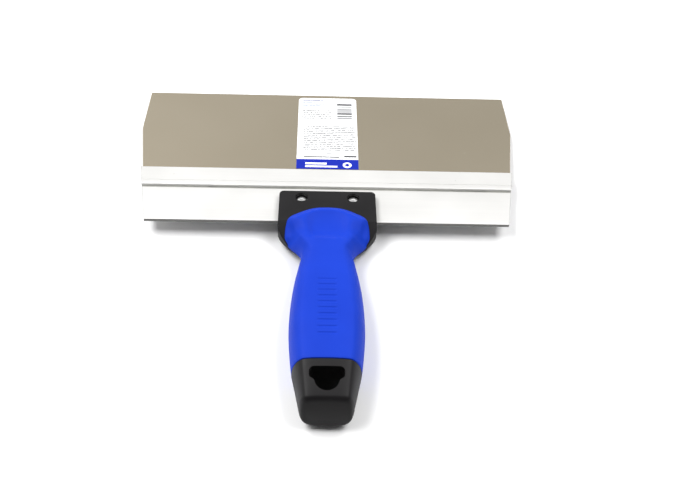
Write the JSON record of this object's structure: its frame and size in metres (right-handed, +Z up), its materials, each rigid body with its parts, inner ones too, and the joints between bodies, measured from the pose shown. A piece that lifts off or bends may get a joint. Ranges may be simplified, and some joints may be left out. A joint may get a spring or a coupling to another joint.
{
  "type": "flexible putty knife",
  "caption": "Wide flexible putty knife: thin steel blade in an aluminium rail, black and blue moulded handle, hang hole.",
  "frame": {"origin": "on the table plane, below the middle of the whole tool's box", "axes": "+Y along the tool from the handle to the working edge, +X across the blade, +Z up from the table with the label side up"},
  "size_m": [0.2508, 0.277, 0.0272],
  "materials": {
    "blade_steel": "fine brushed, slightly reflective",
    "rail_aluminium": "satin extruded",
    "core_plastic": "fine matt texture",
    "grip_rubber": "smooth soft-touch",
    "rivet_metal": "bright",
    "label_film": "printed film"
  },
  "bodies": {
    "handle": {"handle_core": "core_plastic", "grip": "grip_rubber", "rail": "rail_aluminium", "rivet_left": "rivet_metal", "rivet_right": "rivet_metal"},
    "blade": {"blade": "blade_steel", "label": "label_film"}
  },
  "joints": [
    {"name": "blade_flex", "type": "hinge", "parent": "handle", "child": "blade", "pos_m": [0, 0.05177, 0.00708], "axis": [1, 0, 0], "range_deg": [-15, 15], "stiffness_Nm_per_rad": 17.5, "deforming": ["blade"]}
  ]
}
